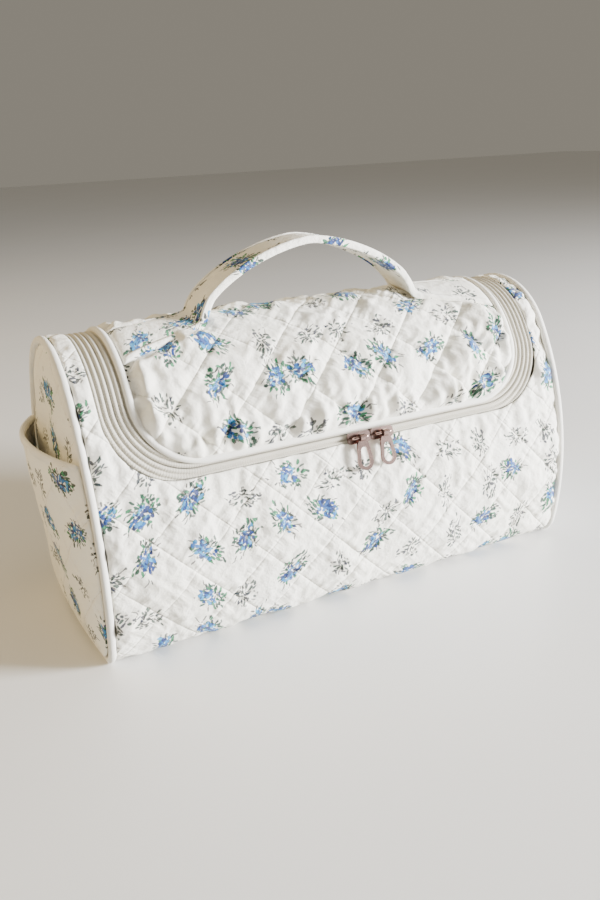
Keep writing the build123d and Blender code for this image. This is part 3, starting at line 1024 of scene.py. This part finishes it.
def end_distance(inset):
    """Function that gives the distance inside the end's outline."""
    y, z, ny, nz = section(np.linspace(0, GIRTH, 360, endpoint=False))
    rim = np.stack([y - ny * inset, z - nz * inset], axis=-1)
    ahead = unit(np.roll(rim, -1, axis=0) - np.roll(rim, 1, axis=0))

    def distance(y, z):
        flat_y, flat_z = np.ravel(y), np.ravel(z)
        far = np.hypot(flat_y[:, None] - rim[None, :, 0], flat_z[:, None] - rim[None, :, 1])
        nearest = far.argmin(axis=1)
        offset = np.stack([flat_y, flat_z], axis=-1) - rim[nearest]
        inward = -(ahead[nearest][:, 0] * offset[:, 1] - ahead[nearest][:, 1] * offset[:, 0])
        return inward.reshape(np.shape(y))

    return distance


def end_sheet(name, side, ys, zs, inset, reach, print_place):
    """Quilted sheet over an end: reach(y, z, deep) is its distance out along X."""
    inside = end_distance(inset)
    u, v, faces, _ = cut_grid(ys, zs, inside)
    deep = np.clip(inside(u, v), 0, None)
    points = np.stack([side * reach(u, v, deep), u, v], axis=-1)
    across, up = print_place
    points, faces, uv = compact(points, faces, np.stack([u + side * across, v + up], axis=-1))
    if side < 0:
        faces = [f[::-1] for f in faces]
    obj = make(name, points, faces, uv)
    finish_cover(obj)
    return obj


def end_puffs(y, z, deep, height):
    """Puffs of an end's quilting, flat at the rim."""
    return pillow(y, z, height) * grow(deep, 0, 8)


def end_reach(y, z, deep):
    height, width = END_DOME
    lift = height * (1 - np.exp(-deep / width)) + end_puffs(y, z, deep, END_PUFF)
    return END_FACE + lift


def end_covers():
    """Quilted end panels, a little domed."""
    ys = np.arange(-62.0, 62.1, GRID)
    zs = np.arange(0.0, 154.0, GRID)
    for side, word in ENDS:
        obj = end_sheet(word + "_end_cover", side, ys, zs, 2.0, end_reach, (300, 0))
        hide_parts(word + "_end_panel", word + "_end_wadding")
        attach(obj, "bag_body")


def pocket_bow(height):
    share = np.clip((height - POCKET_FOOT) / (POCKET_TOP - POCKET_FOOT), 0, 1.1)
    return FOOT_BOW + share * (MOUTH_BOW - FOOT_BOW)


def pocket_x(y, height):
    """Outer face of a pocket: it stands off most a little behind the middle."""
    half = wall_half(height, POCKET_INSET)
    shift = POCKET_SHIFT * np.clip(height / POCKET_TOP, 0, 1)
    part = np.clip((y - shift) / np.where(y > shift, half - shift, half + shift), -1, 1)
    return POCKET_FACE + pocket_bow(height) * (1 - np.abs(part) ** 2.2)


def pocket_reach(y, z, deep):
    return pocket_x(y, z) + end_puffs(y, z, deep, POCKET_PUFF)


def pocket_hem(name, side):
    """Bound hem along the pocket's mouth."""
    half = float(wall_half(POCKET_TOP, POCKET_INSET))
    places = np.linspace(-half, half, 60)
    sides = 12
    verts, uvs = [], []
    for y in places:
        x = float(pocket_x(y, POCKET_TOP)) - 0.5
        for k in range(sides):
            angle = 2 * pi * k / sides
            flat = abs(sin(angle)) ** 0.6 * copysign(1, sin(angle))
            z = POCKET_TOP - HEM / 2 + HEM / 2 * flat
            verts.append((side * (x + HEM_RADIUS * cos(angle)), y, z))
            uvs.append((y, angle * 2))
    faces = ring_faces(len(places), sides)
    if side > 0:
        faces = [f[::-1] for f in faces]
    hem = make(name, verts, faces, uvs)
    subdivide(hem)
    dress(hem, TRIM)
    return hem


def pockets():
    """Open slip pocket on each end, with its bound mouth."""
    ys = np.arange(-60.0, 60.1, GRID)
    zs = np.linspace(1.0, POCKET_TOP - 1, 44)
    for side, word in ENDS:
        obj = end_sheet(word + "_pocket_cover", side, ys, zs, POCKET_INSET, pocket_reach, (520, 40))
        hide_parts(word + "_pocket_panel")
        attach(obj, "bag_body")
        hem = pocket_hem(word + "_pocket_hem", side)
        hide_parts(word + "_pocket_binding")
        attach(hem, "bag_body")


# ---- handle


def handle_line():
    """Middle line of the strap in X and Z, from one sewn end to the other, smoothed twice."""
    tab_z = HEIGHT + STRAP_LIFT + STRAP_THICKNESS / 2
    height = HANDLE_TOP - STRAP_THICKNESS / 2 - tab_z
    half = [(x, tab_z) for x in np.linspace(-TAB_END_X, -ARCH_HALF - 1.5, 24)]
    for angle in np.linspace(0.08, pi / 2, 40):
        across = cos(angle) ** (2 / ARCH_POWER)
        up = sin(angle) ** (2 / ARCH_POWER)
        half.append((-ARCH_HALF * across, tab_z + height * up))
    other = [(-x, z) for x, z in reversed(half[:-1])]
    line = np.array(half + other)
    for _ in range(2):
        line[1:-1] = (line[:-2] + 2 * line[1:-1] + line[2:]) / 4
    return line


def strap_section(width, thickness, sides):
    """Rounded flat cross-section, as (across, out) pairs."""
    points = []
    for k in range(sides):
        angle = 2 * pi * k / sides
        c, s = cos(angle), sin(angle)
        across = width / 2 * copysign(abs(c) ** 0.35, c)
        out = thickness / 2 * copysign(abs(s) ** 0.7, s)
        points.append((across, out))
    return points


def tab_flatness(x):
    """Share of the strap's thickness that is left: less on its sewn ends, least at their tips."""
    sewn = min(1.0, max(0.0, (abs(x) - TAB_INNER_X - 6) / 12))
    tip = max(0.0, 1 - (TAB_END_X - abs(x)) / 5)
    return (1 - 0.35 * sewn) * (1 - 0.75 * tip**2)


def swept(name, line, across_shift, width, thickness, sides):
    """Strap along the handle's line, whose sewn ends follow the lid's curve."""
    ahead = unit(np.gradient(line, axis=0))
    lengths = running_length(line)
    cut = strap_section(width, thickness, sides)
    verts, uvs = [], []
    for (x, z), (dx, dz), along in zip(line, ahead, lengths):
        skew = tan(TAB_TURN) * max(0.0, abs(x) - TAB_INNER_X)
        on_lid = min(1.0, max(0.0, (HEIGHT + 12 - z) / 8))
        flat = tab_flatness(x)
        for across, out in cut:
            y = HANDLE_Y + across_shift + across - skew
            drop = on_lid * (TOP_RADIUS - sqrt(TOP_RADIUS**2 - y * y))
            outward = out * flat - (1 - flat) * STRAP_THICKNESS / 2
            verts.append((x - dz * outward, y, z + dx * outward - drop))
            uvs.append((along, across + out + STRAP_PRINT_SHIFT))
    return make(name, verts, ring_faces(len(line), sides), uvs)


def handle():
    """Padded strap and its two pipings, from the lid's sewn ends over the arch."""
    line = handle_line()
    strap = swept("handle_strap", line, 0.0, HANDLE_WIDTH, STRAP_THICKNESS, 28)
    dress(strap, STRAP_PRINT)
    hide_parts("handle_cover", "handle_core", "handle_tab_left", "handle_tab_right")
    pieces = [strap]
    width, extra = STRAP_EDGE
    for word, shift in (("front", -HANDLE_WIDTH / 2), ("back", HANDLE_WIDTH / 2)):
        edge = swept("handle_" + word + "_piping", line, shift, width, STRAP_THICKNESS + extra, 12)
        dress(edge, STRAP_PRINT)
        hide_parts("handle_" + word + "_edge")
        pieces.append(edge)
    for piece in pieces:
        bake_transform(piece)


# ---- linings


def lining_sheet(node, keep, depth=None):
    """Lining of a CAD node, inside the wall: depth(x, run) lets a part of it lie deeper."""
    xs = np.linspace(-LINING_END, LINING_END, 68)
    runs = np.linspace(0.0, GIRTH, 117)
    u, v, faces, _ = cut_grid(xs, runs, keep)
    wave = 0.4 * np.sin(u / 9.0 + 0.5 * np.sin(v / 14.0)) + 0.3 * np.sin(v / 11.0 + u / 23.0)
    deeper = depth(u, v) if depth else 0.0
    points = on_wrap(u, v, -(WALL - LINING_FABRIC + np.abs(wave) + deeper))
    points, faces, uv = compact(points, faces, np.stack([u, v], axis=-1))
    obj = make(node + "_cloth", points, faces, uv)
    thicken(obj, LINING_FABRIC)
    subdivide(obj)
    dress(obj, LINING)
    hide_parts(node)
    return obj


def body_lining():
    obj = lining_sheet("body_lining", outside_opening(BODY_EDGE))
    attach(obj, "bag_body")


def lid_lining():
    """The lid's lining curls up to the zip's tape, and laps over the body's inside the fold."""

    def keep(x, run):
        return np.minimum(-outside_u(x, run, LID_EDGE, -0.6), FOLD_RUN + FOLD_LAP - run)

    def depth(x, run):
        curl = 2.0 * np.exp(-((outside_u(x, run, LID_EDGE) / 2.2) ** 2)) * (run < FOLD_RUN - 6)
        return 1.9 * grow(run, FOLD_RUN - 7, 6) - curl

    length = FOLD_RUN + FOLD_LAP - run_at(LID_EDGE[1])
    obj = lining_sheet("lid_lining", keep, depth)
    y, z, ny, nz = (float(part) for part in section(FOLD_RUN))
    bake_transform(obj)


def carry_over():
    """CAD pieces that keep their own shape and get a material."""
    for name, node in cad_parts.items():
        if name.startswith(("slider", "pull", "zip_stop")):
            paint = METAL
        elif "seam_binding" in name:
            paint = TRIM
        elif "lining" in name:
            paint = LINING
        else:
            continue
        for place in range(len(node.material_slots)):
            node.material_slots[place].material = paint


# ---- stage, in metres


def area_light(name, place, target, size, power, colour):
    """Square light at a place, turned to a target."""
    data = bpy.data.lights.new(name, "AREA")
    data.size = size
    data.energy = power
    data.color = colour
    obj = add_object(name, data)
    obj.location = place
    obj.rotation_euler = (Vector(target) - obj.location).to_track_quat("-Z", "Y").to_euler()


def stage():
    """Counter, room light, window, ceiling and a warm reflection from the left."""
    mesh = bpy.data.meshes.new("counter")
    half = 6.0
    corners = [(-half, -half, 0), (half, -half, 0), (half, half, 0), (-half, half, 0)]
    mesh.from_pydata(corners, [], [(0, 1, 2, 3)])
    floor = add_object("counter", mesh)
    floor.data.materials.append(counter_paint())
    world = bpy.data.worlds.new("room")
    bpy.context.scene.world = world
    world.use_nodes = True
    background = world.node_tree.nodes["Background"]
    background.inputs["Color"].default_value = (0.98, 0.9, 0.75, 1.0)
    background.inputs["Strength"].default_value = 0.26
    area_light("window", (1.35, -1.0, 0.42), (0, 0, 0.07), 0.5, 175, (0.97, 0.98, 1.0))
    area_light("ceiling", (0.4, -0.6, 1.5), (0, 0, 0.05), 1.2, 4.5, (1.0, 0.95, 0.84))
    area_light("warm_fill", (-1.1, 0.5, 0.8), (0, 0, 0.08), 0.9, 14, (1.0, 0.75, 0.38))


def camera():
    """Camera from the fit to the bag's outlines."""
    place = (-220.3, -418.4, 237.2)
    pitch, azimuth, roll = radians(19.79), radians(-27.34), radians(-2.69)
    focal_share, sensor_height = 870.0 / 900, 36.0
    data = bpy.data.cameras.new("camera")
    data.sensor_fit = "VERTICAL"
    data.sensor_height = sensor_height
    data.lens = focal_share * sensor_height
    data.clip_start = 0.01
    obj = add_object("camera", data)
    ahead = Vector((-sin(azimuth) * cos(pitch), cos(azimuth) * cos(pitch), -sin(pitch)))
    right = Vector((cos(azimuth), sin(azimuth), 0))
    up = right.cross(ahead)
    right, up = right * cos(roll) + up * sin(roll), up * cos(roll) - right * sin(roll)
    matrix = obj.matrix_world.copy()
    for row in range(3):
        matrix[row][0], matrix[row][1], matrix[row][2] = right[row], up[row], -ahead[row]
        matrix[row][3] = place[row] * MM
    obj.matrix_world = matrix
    bpy.context.scene.camera = obj


camera()
stage()
carry_over()
body_cover()
lid_cover()
edge_cords()
zip_band()
end_covers()
pockets()
handle()
body_lining()
lid_lining()
